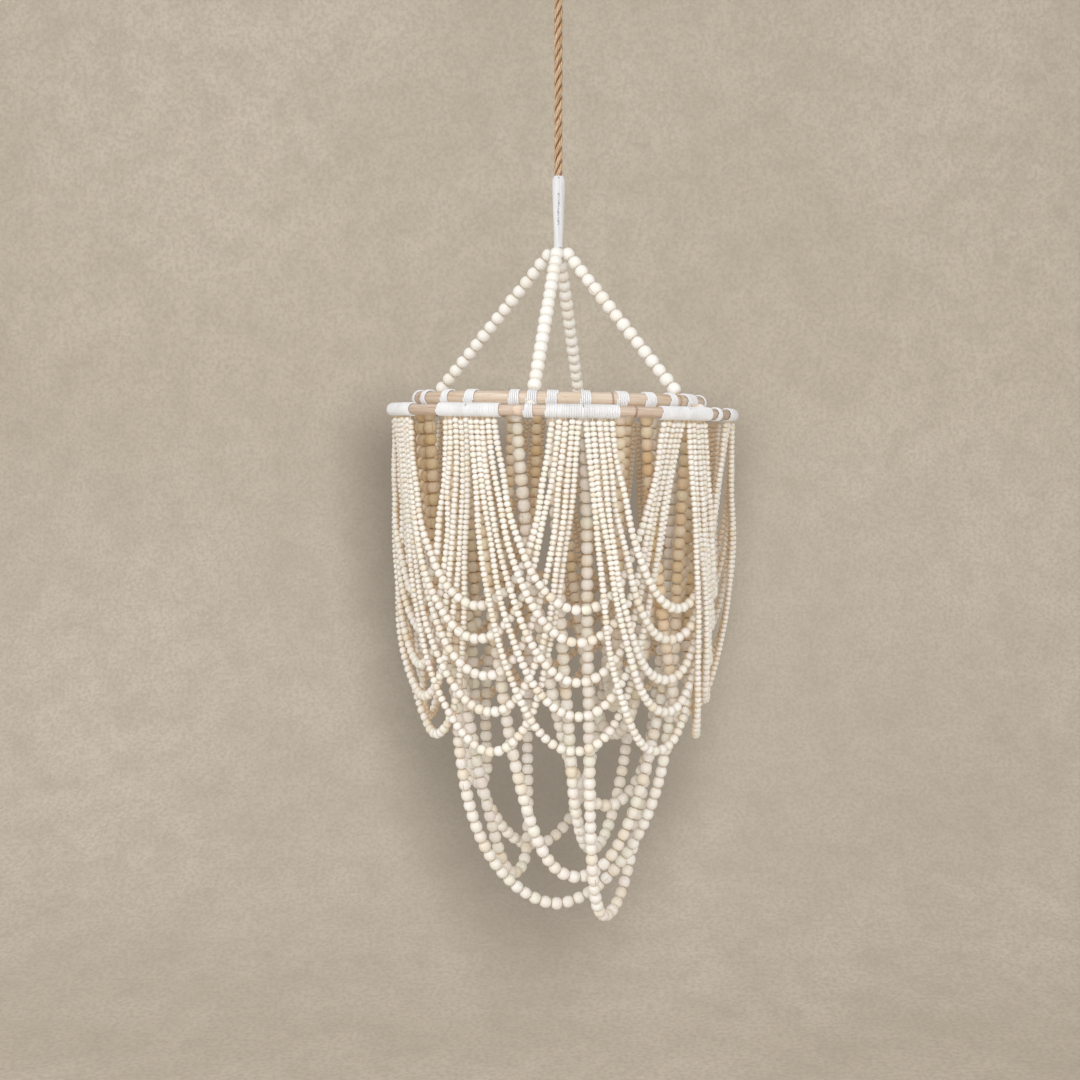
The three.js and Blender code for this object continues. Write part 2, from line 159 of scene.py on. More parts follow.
# Inner loops. A row is a loop's two lashings, the shares that shape it and how brown it is painted,
# partly its own tone and partly painted shade.
lashing_degrees = [
    -62.8, -47.2, -34.7, -16.5, -2.6, 9.5, 23.3, 35.2, 47, 62, 78, 91.5, 105,
    119, 133, 147, 160, 179, 190, 202, 215, 227, 238.5, 254, 269, 284,
]
string_degrees = {"front": -10, "right": 58, "back": 170.5, "left": 250}
tie_degrees = {"front": -10, "right": 58, "back": 170.5, "left": 245.395}
loop_drop = 730
loop_lean = 4
loop_stray = 1.6
loop_shares = [
    [1, 9, 0.971, 0.15, -0.06, 0.395, 0.7],
    [2, 10, 0.892, -0.03, -0.055, 0.08, 0.6],
    [3, 11, 0.763, -0.04, 0.09, 0.135, 0.3],
    [4, 14, 0.857, -0.025, -0.065, 0.075, 0.35],
    [0, 18, 0.922, -0.15, -0.185, -0.31, 0.9],
    [25, 15, 0.901, 0.01, 0.07, 0.045, 0.8],
    [5, 13, 0.987, -0.03, -0.06, 0.17, 0.2],
    [24, 19, 0.781, -0.22, 0.04, -0.035, 0.7],
    [6, 16, 0.584, 0, 0, 0, 0.6],
    [7, 12, 0.589, -0.08, -0.01, -0.095, 0.95],
    [8, 17, 0.652, -0.02, 0.03, 0, 0.7],
    [20, 23, 0.626, -0.15, 0.005, 0.09, 0.8],
    [21, 22, 0.453, 0, 0.03, 0.185, 0.6],
]


def linked(name, data):
    piece = bpy.data.objects.new(name, data)
    bpy.context.scene.collection.objects.link(piece)
    return piece


# Camera: level with the rings, in line with the rope, looking slightly down
camera_distance = 1920
camera_height = ring_height - 18
camera_pitch = radians(4.88)
camera = linked("camera", bpy.data.cameras.new("camera"))
camera.location = (0, -camera_distance * MM, camera_height * MM)
camera.rotation_euler = (pi / 2 - camera_pitch, 0, 0)
camera.data.sensor_width = 36
camera.data.lens = 44.77
camera.data.shift_x = -0.0171
camera.data.clip_start = 0.05
camera.data.clip_end = 60
bpy.context.scene.camera = camera
bpy.context.scene.view_settings.view_transform = "Standard"


class Value:
    """An output socket. Arithmetic on it adds Math nodes to the bench it lies on."""

    def __init__(self, bench, socket):
        self.bench = bench
        self.socket = socket

    def other(self, name):
        return Value(self.bench, self.socket.node.outputs[name])

    def __add__(self, other):
        return self.bench.math("ADD", self, other)

    def __sub__(self, other):
        return self.bench.math("SUBTRACT", self, other)

    def __rsub__(self, other):
        return self.bench.math("SUBTRACT", other, self)

    def __mul__(self, other):
        return self.bench.math("MULTIPLY", self, other)

    def __truediv__(self, other):
        return self.bench.math("DIVIDE", self, other)

    def __rtruediv__(self, other):
        return self.bench.math("DIVIDE", other, self)

    __radd__ = __add__
    __rmul__ = __mul__

    def sine(self):
        return self.bench.math("SINE", self)

    def size(self):
        return self.bench.math("ABSOLUTE", self)

    def between(self, low, high):
        """0 at low, 1 at high, smooth and held beyond."""
        sockets = {"Value": self, "From Min": low, "From Max": high}
        return self.bench.add("ShaderNodeMapRange", sockets, interpolation_type="SMOOTHSTEP")


class Bench:
    """A node tree being built, for a material or for Geometry Nodes."""

    def __init__(self, tree):
        self.tree = tree

    def add(self, kind, sockets=None, output=0, **settings):
        node = self.tree.nodes.new(kind)
        for key, value in settings.items():
            setattr(node, key, value)
        for key, value in (sockets or {}).items():
            self.join(value, node.inputs[key])
        return Value(self, node.outputs[output])

    def join(self, value, socket):
        if isinstance(value, Value):
            self.tree.links.new(value.socket, socket)
        else:
            socket.default_value = value

    def math(self, kind, *values):
        return self.add("ShaderNodeMath", dict(enumerate(values)), operation=kind)

    def vector(self, kind, *values):
        output = 1 if kind in ("DISTANCE", "DOT_PRODUCT") else 0
        return self.add("ShaderNodeVectorMath", dict(enumerate(values)), output, operation=kind)

    def scaled(self, vector, factor):
        return self.add("ShaderNodeVectorMath", {0: vector, 3: factor}, operation="SCALE")

    def built(self, x, y, z):
        return self.add("ShaderNodeCombineXYZ", {0: x, 1: y, 2: z})

    def parts(self, vector):
        x = self.add("ShaderNodeSeparateXYZ", {0: vector})
        return x, x.other("Y"), x.other("Z")

    def noise(self, vector, scale=1, detail=3, roughness=0.55):
        sockets = {"Vector": vector, "Scale": scale, "Detail": detail, "Roughness": roughness}
        return self.add("ShaderNodeTexNoise", sockets)


def rgb(*levels):
    """A colour as it looks on screen, 0 to 255, as the shader takes it."""
    shares = [level / 255 for level in levels]
    return (*(s / 12.92 if s <= 0.04045 else ((s + 0.055) / 1.055) ** 2.4 for s in shares), 1)


class Finish(Bench):
    """A material under construction."""

    def __init__(self, name, roughness, **constants):
        self.material = bpy.data.materials.new(name)
        self.material.use_nodes = True
        super().__init__(self.material.node_tree)
        self.tree.nodes.clear()
        shader = self.add("ShaderNodeBsdfPrincipled")
        self.inputs = shader.socket.node.inputs
        self.join(shader, self.tree.nodes.new("ShaderNodeOutputMaterial").inputs["Surface"])
        self.set(Roughness=roughness, **constants)

    def set(self, **values):
        for key, value in values.items():
            self.join(value, self.inputs[key.replace("_", " ")])

    def attributes(self, *names, output="Fac"):
        return [self.add("ShaderNodeAttribute", None, output, attribute_name=name) for name in names]

    def place(self):
        return self.add("ShaderNodeTexCoord", None, "Object")

    def ramp(self, value, stops):
        """A colour ramp. A stop is its place and a colour as it looks on screen."""
        ramp = self.add("ShaderNodeValToRGB", {0: value})
        elements = ramp.socket.node.color_ramp.elements
        while len(elements) < len(stops):
            elements.new(1)
        for element, (place, *levels) in zip(elements, stops):
            element.position = place
            element.color = rgb(*levels)
        return ramp

    def blend(self, mask, low, high, kind="MIX"):
        sockets = {0: mask, 6: low, 7: high}
        return self.add("ShaderNodeMix", sockets, 2, data_type="RGBA", blend_type=kind)

    def stained(self, mask, base, stain):
        return self.blend(mask, base, stain, "MULTIPLY")

    def finished(self, colour, height=None, distance=0, strength=0, **varying):
        """Takes what varies over the surface, with the height and reach of its relief."""
        if height:
            sockets = {"Height": height, "Distance": distance, "Strength": strength}
            varying["Normal"] = self.add("ShaderNodeBump", sockets)
        self.set(Base_Color=colour, **varying)
        return self.material


cream = [
    (233, 222, 202), (239, 235, 228), (242, 240, 236), (240, 232, 228), (237, 236, 223), (242, 238, 232),
]
# A warm brown for painted shade in the creases and on the inner side of the beads.
painted_shade_brown = rgb(234, 190, 124)


def wooden_beads(name, grain, grain_scale, inner_shade):
    """Turned, unvarnished beads, each with its own tint, grain and cracks. Age is -1 bleached to 1 brown,
    where the brown is painted shade with some tone of the bead's own.

    The last argument is how strongly the side toward the middle of the shade is painted brown, as
    painted shade where little light reaches; the creases at each bead's two ends get painted shade too."""
    m = Finish(name, 0.6, Specular_IOR_Level=0.2)
    tone, age, inward = m.attributes("tone", "age", "inward")
    (place,) = m.attributes("place", output="Vector")
    x, y, z = m.parts(place)
    bead = m.built(tone * 37, tone * 91, tone * 53)
    rings = m.noise(m.vector("ADD", m.built(x * 2.6, y * 0.35, z * 2.6), bead), grain_scale, 4)
    fibres = m.noise(m.vector("ADD", m.built(x * 9, y * 0.9, z * 9), bead), grain_scale * 1.6, 2)
    patch = m.noise(m.vector("ADD", place, bead), 1.1, 2)
    stops = [(i / (len(cream) - 1), *levels) for i, levels in enumerate(cream)]
    tint = m.ramp(m.math("FRACT", tone * 7.31), stops)
    grained = m.blend(rings.between(0.42, 0.75) * 0.45, tint, grain)
    lighter = m.blend(patch.between(0.35, 0.75) * 0.4, grained, rgb(*cream[2]))
    lined = m.stained(fibres.between(0.6, 0.74) * 0.4, lighter, grain)
    crack_line = (x + (rings - 0.5) * 0.25).size().between(0.035, 0)
    crack = crack_line * z.size().between(0.42, 0.2) * y.between(0.1, 0.3)
    crack = crack * m.math("GREATER_THAN", m.math("FRACT", tone * 23.7), 0.84)
    # Painted shade on the inner loops, where age is above 0, with some tone of each bead's own.
    brown_and_shade = age.between(0, 1) * (0.6 + 0.4 * m.math("FRACT", tone * 3.17))
    browned_and_shaded = m.stained(brown_and_shade, lined, rgb(238, 212, 170))
    # Painted shade: the side that faces the middle of the shade is browner, as much as the last argument
    # says.
    inner_side_shaded = m.stained(inward.between(-0.35, 0.75) * inner_shade, browned_and_shaded, painted_shade_brown)
    pale = m.blend((0 - age).between(0, 1) * 0.6, inner_side_shaded, rgb(246, 244, 239))
    # Painted shade in the creases at each bead's two ends.
    crease_shaded = m.stained(z.size().between(0.4, 0.5) * 0.22, pale, painted_shade_brown)
    colour = m.blend(crack * 0.7, crease_shaded, rgb(146, 112, 76))
    height = rings * 0.5 + fibres * 0.3 - crack * 1.6
    return m.finished(colour, height, 0.0004, 0.5, Roughness=0.52 + rings * 0.18)


def wound_cotton(name, pale, shade, between):
    """Twisted white cotton cord: two plies and soft fibres, with painted shade between the plies
    and a faint grey painted shade between its turns.
    """
    m = Finish(name, 0.85, Sheen_Weight=0.25, Specular_IOR_Level=0.2)
    run, turn, strand, rise = m.attributes("run", "round", "strand", "rise")
    twist = ((turn * 2 + run * 420) * TURN).sine()
    fibre = m.noise(m.built(run * 900, turn * 5, strand * 11), detail=2)
    cloud = m.noise(m.place(), 55)
    base = m.blend(cloud.between(0.3, 0.75) * 0.3, pale, shade)
    # Painted shade in the grooves between the two plies.
    wear_and_shade = m.stained((0 - twist).between(0.35, 1) * 0.2, base, shade)
    fuzzy = m.stained(fibre.between(0.62, 0.8) * 0.2, wear_and_shade, shade)
    # Painted shade: a faint grey between the turns, as deep as the last argument says.
    colour = m.stained(rise.between(0.6, 0) * between, fuzzy, shade)
    return m.finished(colour, twist * 0.5 + fibre * 0.7, 0.0003, 0.6)


def jute_rope():
    """Tan jute: yarns with pale golden backs, and painted shade: brown between them and darker still
    between the strands.
    """
    m = Finish("jute_rope", 0.8, Sheen_Weight=0.3, Specular_IOR_Level=0.25)
    run, turn, strand, rise = m.attributes("run", "round", "strand", "rise")
    yarn = ((turn * 7 + run * 55) * TURN).sine()
    fibre = m.noise(m.built(run * 160, turn * 26, strand * 9), 1, 4, 0.65)
    patch = m.noise(m.built(run * 34, turn * 2, strand * 5), detail=2)
    stops = [(0.32, 154, 114, 75), (0.45, 197, 162, 122), (0.58, 229, 204, 171), (0.72, 246, 234, 212)]
    tint = m.ramp(fibre * 0.7 + patch * 0.3, stops)
    # Painted shade: brown between the yarns, and darker still in the valleys between the strands.
    lined = m.stained((0 - yarn).between(0.2, 1) * 0.6, tint, rgb(150, 106, 66))
    colour = m.stained(rise.between(0.85, 0.2) * 0.85, lined, rgb(140, 94, 52))
    return m.finished(colour, yarn * 0.4 + fibre * 0.8, 0.0006, 0.8)


def peeled_cane(name, stops, speck, streak):
    """Peeled cane: long streaks, specks, darker knuckles and a pale sawn end at the lap joint."""
    m = Finish(name, 0.48, Specular_IOR_Level=0.3, Coat_Weight=0.08, Coat_Roughness=0.4)
    run, turn, knuckle, cut = m.attributes("run", "round", "knuckle", "cut")
    side = (turn * TURN).sine()
    other = (turn * TURN + pi / 2).sine()
    length = m.noise(m.built(run * 9, side * 2.2, other * 2.2), 1, 4, 0.6)
    fine = m.noise(m.built(run * 24, side * 9, other * 9), 1, 3, 0.6)
    spots = m.noise(m.built(run * 210, side * 7, other * 7), 1, 2, 0.5).between(0.66, 0.76)
    tint = m.ramp(length * 0.8 + fine * 0.2, stops)
    streaked = m.stained(fine.between(0.52, 0.68) * 0.7, tint, streak)
    specked = m.blend(spots * 0.55, streaked, speck)
    knuckled = m.blend(knuckle * 0.85, specked, speck)
    sawn = m.blend(fine.between(0.4, 0.7), rgb(230, 210, 190), rgb(214, 188, 164))
    height = length * 0.5 + fine * 0.5 - spots * 0.3
    return m.finished(m.blend(cut, knuckled, sawn), height, 0.0005, 0.5, Roughness=0.4 + length * 0.25)


def sleeve_cloth():
    """Plain white cotton cloth with a fine weave and soft creases."""
    m = Finish("sleeve_cloth", 0.9, Sheen_Weight=0.3, Specular_IOR_Level=0.15)
    run, turn = m.attributes("run", "round")
    weave = (turn * 96 * TURN).sine() * (run * 2000 * TURN).sine()
    crease = m.noise(m.built(run * 40, turn * 5, 0))
    slub = m.noise(m.built(run * 130, turn * 40, 3), detail=2)
    white = m.blend(crease.between(0.3, 0.8) * 0.5, rgb(232, 233, 235), rgb(216, 217, 221))
    colour = m.stained(slub.between(0.6, 0.8) * 0.3, white, rgb(216, 216, 220))
    return m.finished(colour, weave * 0.25 + crease * 1.2 + slub * 0.4, 0.0004, 0.5)


def brushed_steel():
    m = Finish("brushed_steel", 0.32, Metallic=1)
    brush = m.noise(m.vector("MULTIPLY", m.place(), (900, 900, 60)))
    smear = m.noise(m.place(), 90)
    colour = m.blend(smear.between(0.35, 0.7), rgb(186, 184, 178), rgb(212, 210, 205))
    return m.finished(colour, brush, 0.00015, 0.4, Roughness=0.26 + brush * 0.2)


def stitching_thread():
    m = Finish("stitching_thread", 0.7, Sheen_Weight=0.2)
    fibre = m.noise(m.place(), 2600, 2)
    colour = m.blend(fibre.between(0.4, 0.65), rgb(74, 72, 76), rgb(112, 110, 114))
    return m.finished(colour, fibre, 0.0001, 0.5)


steel = brushed_steel()
jute = jute_rope()
white_cotton = wound_cotton("white_cotton", rgb(244, 244, 245), rgb(214, 213, 216), 0.35)
# The bead thread is tan as painted shade, for the gaps between the beads where it shows.
bead_thread = wound_cotton("bead_thread", rgb(236, 214, 180), rgb(206, 172, 128), 0)
cloth = sleeve_cloth()
dark_thread = stitching_thread()
pink_stops = [(0.3, 170, 136, 112), (0.44, 200, 178, 158), (0.6, 219, 204, 190), (0.76, 180, 148, 124)]
pale_stops = [(0.3, 196, 166, 136), (0.46, 216, 197, 177), (0.6, 226, 213, 198), (0.8, 205, 178, 150)]
pink_cane = peeled_cane("pink_cane", pink_stops, rgb(118, 76, 50), rgb(204, 164, 134))
pale_cane = peeled_cane("pale_cane", pale_stops, rgb(140, 92, 58), rgb(224, 192, 156))
large_wood = wooden_beads("large_beads", rgb(232, 212, 182), 2.4, 0)
small_wood = wooden_beads("small_beads", rgb(234, 216, 188), 1.6, 0.5)


class Grower(Bench):
    """A Geometry Nodes tree under construction, with its named inputs as values."""

    def __init__(self, name, **inputs):
        super().__init__(bpy.data.node_groups.new(name, "GeometryNodeTree"))
        inputs = {"geometry": "Geometry", **inputs}
        for key, kind in inputs.items():
            self.tree.interface.new_socket(key, in_out="INPUT", socket_type="NodeSocket" + kind)
        self.tree.interface.new_socket("Geometry", in_out="OUTPUT", socket_type="NodeSocketGeometry")
        entry = self.tree.nodes.new("NodeGroupInput")
        self.given = {key: Value(self, socket) for key, socket in zip(inputs, entry.outputs)}

    def geo(self, kind, sockets=None, output=0, **settings):
        return self.add("GeometryNode" + kind, sockets, output, **settings)

    def named(self, name, kind="FLOAT"):
        return self.geo("InputNamedAttribute", {"Name": name}, data_type=kind)

    def stored(self, geometry, name, value, kind="FLOAT", domain="POINT"):
        sockets = {"Geometry": geometry, "Name": name, "Value": value}
        return self.geo("StoreNamedAttribute", sockets, data_type=kind, domain=domain)

    def measured(self, line, name, output):
        return self.stored(line, name, self.geo("SplineParameter", None, output))

    def circle(self, sides, radius):
        return self.geo("CurvePrimitiveCircle", {"Resolution": sides, "Radius": radius})

    def swept(self, line, profile):
        return self.geo("CurveToMesh", {"Curve": line, "Profile Curve": profile, "Fill Caps": True})

    def moved(self, geometry, offset):
        return self.geo("SetPosition", {"Geometry": geometry, "Offset": offset})

    def smooth(self, geometry):
        return self.geo("SetShadeSmooth", {"Geometry": geometry})

    def real(self, geometry):
        return self.geo("RealizeInstances", {"Geometry": geometry})

    def dressed(self, geometry, material):
        return self.geo("SetMaterial", {"Geometry": geometry, "Material": self.given[material]})

    def ended(self, geometry):
        self.join(geometry, self.tree.nodes.new("NodeGroupOutput").inputs[0])
        return self.tree


def threaded_beads_tree():
    """A bead on every point that has a girth, turned along the strand, and the thread through them all."""
    kinds = {"bead": "Object", "thread_radius": "Float", "seed": "Int"}
    g = Grower("threaded_beads", **kinds, wood="Material", thread="Material")
    line = g.given["geometry"]

    def chance(low, high, salt):
        sockets = {2: low, 3: high, "Seed": g.given["seed"] + salt}
        return g.add("FunctionNodeRandomValue", sockets, 1, data_type="FLOAT")

    def turned_by(rotation, axis, angle):
        twist = g.add("FunctionNodeAxisAngleToRotation", {"Axis": axis, "Angle": angle})
        sockets = {"Rotation": rotation, "Rotate By": twist}
        return g.add("FunctionNodeRotateRotation", sockets, rotation_space="LOCAL")

    girth = g.named("girth")
    width = girth * chance(0.97, 1.03, 3)
    along = g.add("FunctionNodeAlignRotationToVector", {"Vector": g.named("lie", "FLOAT_VECTOR")}, axis="Z")
    spun = turned_by(along, (0, 0, 1), chance(0, TURN, 1))
    bead = g.geo("ObjectInfo", {"Object": g.given["bead"]}, "Geometry", transform_space="ORIGINAL")
    sockets = {
        "Points": line,
        "Selection": g.math("GREATER_THAN", girth, 0.0001),
        "Instance": bead,
        "Rotation": turned_by(spun, (1, 0, 0), chance(-0.09, 0.09, 2)),
        "Scale": g.built(width, width, g.named("span")),
    }
    strung = g.geo("InstanceOnPoints", sockets)
    solid = g.real(g.stored(strung, "tone", chance(0, 1, 4), domain="INSTANCE"))
    # How much each face looks toward the axis, which the bead material uses for painted shade.
    x, y, z = g.parts(g.geo("InputPosition"))
    outward = g.vector("NORMALIZE", g.built(x, y, 0))
    inward = 0 - g.vector("DOT_PRODUCT", outward, g.geo("InputNormal"))
    wooden = g.dressed(g.smooth(g.stored(solid, "inward", inward)), "wood")
    thread = g.measured(g.geo("MeshToCurve", {"Mesh": line}), "run", "Length")
    threaded = g.dressed(g.swept(thread, g.circle(5, g.given["thread_radius"])), "thread")
    both = g.geo("JoinGeometry")
    for piece in (threaded, wooden):
        g.join(piece, both.socket.node.inputs[0])
    return g.ended(both)


def wound_cord_tree():
    """Cord laid in a helix along a path, at the reach that each point gives."""
    kinds = dict.fromkeys(["turns", "cord_radius", "looseness", "yarn_relief", "yarn_pitch"], "Float")
    kinds.update(dict.fromkeys(["steps", "strands", "sides", "yarns", "seed"], "Int"))
    g = Grower("wound_cord", **kinds, finish="Material")
    given = g.given
    line = g.geo("MeshToCurve", {"Mesh": given["geometry"]})
    even = g.geo("ResampleCurve", {"Curve": line, "Count": given["steps"]}, mode="COUNT")
    even = g.stored(even, "core", g.geo("InputPosition"), "FLOAT_VECTOR")
    copies = g.geo("DuplicateElements", {"Geometry": even, "Amount": given["strands"]}, domain="SPLINE")
    numbered = g.stored(copies, "strand", copies.other("Duplicate Index") + 0)
    index = g.named("strand")
    reach = g.named("reach")
    turned = g.geo("SplineParameter", None, "Factor") * given["turns"]
    angle = (turned + index / (given["strands"] + 0)) * TURN
    sockets = {"Vector": g.built(turned * 1.7, index, 0), "W": given["seed"] + 0, "Scale": 1}
    wander = g.add("ShaderNodeTexNoise", sockets, noise_dimensions="4D")
    sockets = {"Vector": g.geo("InputNormal"), "Axis": g.geo("InputTangent"), "Angle": angle}
    arm = g.add("ShaderNodeVectorRotate", sockets, rotation_type="AXIS_ANGLE")
    helix = g.moved(numbered, g.scaled(arm, reach + (wander - 0.5) * given["looseness"]))
    profile = g.measured(g.circle(given["sides"], given["cord_radius"]), "round", "Factor")
    cord = g.swept(g.measured(helix, "run", "Length"), profile)
    yarn = ((g.named("round") * given["yarns"] + g.named("run") / given["yarn_pitch"]) * TURN).sine()
    ridged = g.moved(cord, g.scaled(g.geo("InputNormal"), yarn * given["yarn_relief"]))
    away = g.vector("DISTANCE", g.geo("InputPosition"), g.named("core", "FLOAT_VECTOR"))
    ridged = g.stored(ridged, "rise", (away - reach) / given["cord_radius"])
    return g.ended(g.dressed(g.real(g.smooth(ridged)), "finish"))


threaded_beads = threaded_beads_tree()
wound_cord = wound_cord_tree()


def line_mesh(lines, **values):
    """A mesh of open lines of points in millimetres. Each value is a number or vector for every point."""
    mesh = bpy.data.meshes.new("line")
    edges = []
    first = 0
    for line in lines:
        edges += [(i, i + 1) for i in range(first, first + len(line) - 1)]
        first += len(line)
    mesh.from_pydata((np.concatenate(lines) * MM).tolist(), edges, [])
    for name, value in values.items():
        data = np.concatenate(value)
        kind, field = ("FLOAT", "value") if data.ndim == 1 else ("FLOAT_VECTOR", "vector")
        mesh.attributes.new(name, kind, "POINT").data.foreach_set(field, data.ravel())
    return mesh


def applied(piece):
    """Makes what the piece's modifier gives its own plain mesh, and takes the modifier away."""
    depsgraph = bpy.context.evaluated_depsgraph_get()
    made = piece.evaluated_get(depsgraph)
    mesh = bpy.data.meshes.new_from_object(made, preserve_all_data_layers=True, depsgraph=depsgraph)
    piece.modifiers.clear()
    piece.data = mesh
    mesh.name = piece.name
    return piece


def grown(name, tree, mesh, **values):
    """Runs a tree on a mesh and gives the result as a plain mesh object."""
    piece = linked(name, mesh)
    modifier = piece.modifiers.new("made", "NODES")
    modifier.node_group = tree
    for item in tree.interface.items_tree:
        if item.in_out == "INPUT" and item.name in values:
            modifier[item.identifier] = values[item.name]
    return applied(piece)


def joined(name, pieces):
    """Several mesh objects as one."""
    with bpy.context.temp_override(active_object=pieces[0], selected_editable_objects=pieces):
        bpy.ops.object.join()
    pieces[0].name = name
    pieces[0].data.name = name
    return pieces[0]


def hung(piece, body, slot, *nodes):
    """Rides on its body and replaces its CAD nodes, which it hides. Its slot is not used."""
    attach(piece, body)
    if nodes:
        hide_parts(*nodes)


# Curves
def round_point(angle, radius, height):
    angle, radius, height = np.broadcast_arrays(angle, radius, height)
    return np.stack([radius * np.sin(angle), -radius * np.cos(angle), height], axis=-1).astype(float)


def askew(points, shift):
    """Both rings, with all that hangs from them, sit a little right of the rope and low on the right."""
    points = np.array(points, float)
    points[..., 2] -= points[..., 0] * tan(ring_tilt)
    points[..., 0] += shift
    return points


def on_ring(angle, ring):
    radius, height, shift, _ = ring
    return askew(round_point(angle, radius, height), shift)


def under_ring(ring):
    """The height at which strands start under a ring's wound cotton."""
    return ring[1] - ring[3] / 2 - wound_gap - cotton_wall / 2


def upright(heights):
    return np.pad(heights[:, None], [(0, 0), (2, 0)])


def arc(radius, degrees, height=0):
    """Pairs on an arc round the point that lies at a height over the origin."""
    return [(radius * cos(radians(d)), height + radius * sin(radians(d))) for d in degrees]


def hanging_chain(half, drop):
    """A chain between two level ends, evenly spaced: its places along the span and its depth shares."""
    flat, tight = half * 60, half / 60
    for _ in range(60):
        middle = sqrt(flat * tight)
        if middle * (cosh(half / middle) - 1) > drop:
            tight = middle
        else:
            flat = middle
    reach = sinh(half / flat)
    along = flat * np.arcsinh(np.linspace(-reach, reach, chain_points))
    return along, np.clip(1 - flat * (np.cosh(along / flat) - 1) / drop, 0, 1)


def lengths(path):
    steps = np.linalg.norm(np.diff(path, axis=0), axis=1)
    return np.concatenate([[0], np.cumsum(steps)])


def bump(away, width):
    return np.exp(-((away / width) ** 2))


def unit(vectors):
    return vectors / np.linalg.norm(vectors, axis=-1, keepdims=True)


def at_length(path, measured, where):
    return np.stack([np.interp(where, measured, path[:, k]) for k in range(3)], axis=-1)


def smoothed(corners, count):
    """A smooth curve through corners, as evenly spaced points."""
    p = np.concatenate([2 * corners[:1] - corners[1:2], corners, 2 * corners[-1:] - corners[-2:-1]])
    t = np.linspace(0, 1, 24, endpoint=False)[:, None]
    pieces = []
    for a, b, c, d in zip(p, p[1:], p[2:], p[3:]):
        square = (2 * a - 5 * b + 4 * c - d) * t**2
        cube = (3 * b - a - 3 * c + d) * t**3
        pieces.append(0.5 * (2 * b + (c - a) * t + square + cube))
    path = np.concatenate([*pieces, corners[-1:]])
    measured = lengths(path)
    return at_length(path, measured, np.linspace(0, measured[-1], count))


def wandering(path, rng, reach, slump=0):
    """A strand that strays a little from its curve between its two ends, and most at its foot."""
    share = np.linspace(0, 1, len(path))
    hold = np.clip(8 * share * (1 - share), 0, 1)
    stray = slump * np.outer(np.sin(pi * share) ** 2, rng.uniform(-1, 1, 3))
    for wave in (2, 3, 5, 8, 13):
        turn = rng.uniform(0, TURN, 2)
        size = rng.uniform(0.4, 1, 2) * reach / wave**0.5
        stray[:, :2] += size * np.sin(TURN * wave * share[:, None] / 2 + turn)
    return path + stray * hold[:, None]


def threaded(start, spots, end, girths, spans, ways):
    """A strand: its points in millimetres, and a girth, a span and a way for each. Its ends bear no bead."""
    up = [[0, 0, 1]]
    return (
        np.concatenate([[start], spots, [end]]),
        np.concatenate([[0], girths, [0]]) * MM,
        np.concatenate([[0], spans, [0]]) * MM,
        np.concatenate([up, ways, up]),
    )


def strung(path, girth_at, span_of, margin, rng, unlike=0.1):
    """A strand of uneven beads along a path."""
    measured = lengths(path)
    total = measured[-1]
    places, girths, spans = [], [], []
    here = margin
    while True:
        girth = girth_at(here, total)
        span = span_of(girth) * rng.uniform(1 - unlike, 1 + unlike)
        if here + span > total - margin:
            break
        places.append(here + span / 2)
        girths.append(girth * rng.uniform(1 - unlike / 2, 1 + unlike / 2))
        spans.append(span)
        here += span
    places = np.array(places) + (total - margin - here) / 2
    before, spots, after = (at_length(path, measured, places + away) for away in (-1, 0, 1))
    return threaded(path[0], spots, path[-1], girths, spans, unit(after - before))


# Shapes made point by point
def grid_mesh(name, rings, closed=False, **values):
    """A tube from rings of points in millimetres, with run and round. A closed one takes other values."""
    count, sides = rings.shape[:2]
    vertices = (rings.reshape(-1, 3) * MM).tolist()
    faces = []
    for i in range(count if closed else count - 1):
        low, high = i * sides, ((i + 1) % count) * sides
        for j in range(sides):
            k = (j + 1) % sides
            faces.append((low + j, low + k, high + k, high + j))
    centre_line = rings.mean(axis=1)
    run = np.repeat(lengths(centre_line) * MM, sides)
    way_round = np.tile(np.arange(sides) / sides, count)
    for i in () if closed else (0, count - 1):
        middle = len(vertices)
        vertices.append((centre_line[i] * MM).tolist())
        run = np.append(run, run[i * sides])
        way_round = np.append(way_round, 0)
        for j in range(sides):
            a, b = i * sides + j, i * sides + (j + 1) % sides
            faces.append((middle, a, b) if i else (middle, b, a))
    mesh = bpy.data.meshes.new(name)
    mesh.from_pydata(vertices, [], faces)
    for key, value in {"run": run, "round": way_round, **values}.items():
        mesh.attributes.new(key, "FLOAT", "POINT").data.foreach_set("value", np.ravel(value))
    mesh.shade_smooth()
    return mesh


def placed(mesh, material):
    mesh.materials.append(material)
    return linked(mesh.name, mesh)


def revolved(outline, sides):
    """Rings of points from [radius, height] pairs, top to foot."""
    angles = np.arange(sides) * TURN / sides
    return np.stack([round_point(-angles, r, z) for r, z in np.array(outline, float)])


def turned(name, outline, sides, material):
    """A revolved piece, closed on the axis at both ends."""
    piece = placed(grid_mesh(name, revolved(outline, sides)), material)
    piece.data.set_sharp_from_angle(angle=radians(35))
    return piece


def tube(path, side, radius, sides):
    """Rings of points round a path. side is a direction across the path at each of its points."""
    second = np.cross(unit(np.gradient(path, axis=0)), side)
    angles = np.arange(sides)[None, :, None] * TURN / sides
    across = np.cos(angles) * side[:, None] + np.sin(angles) * second[:, None]
    return path[:, None] + radius[:, None, None] * across


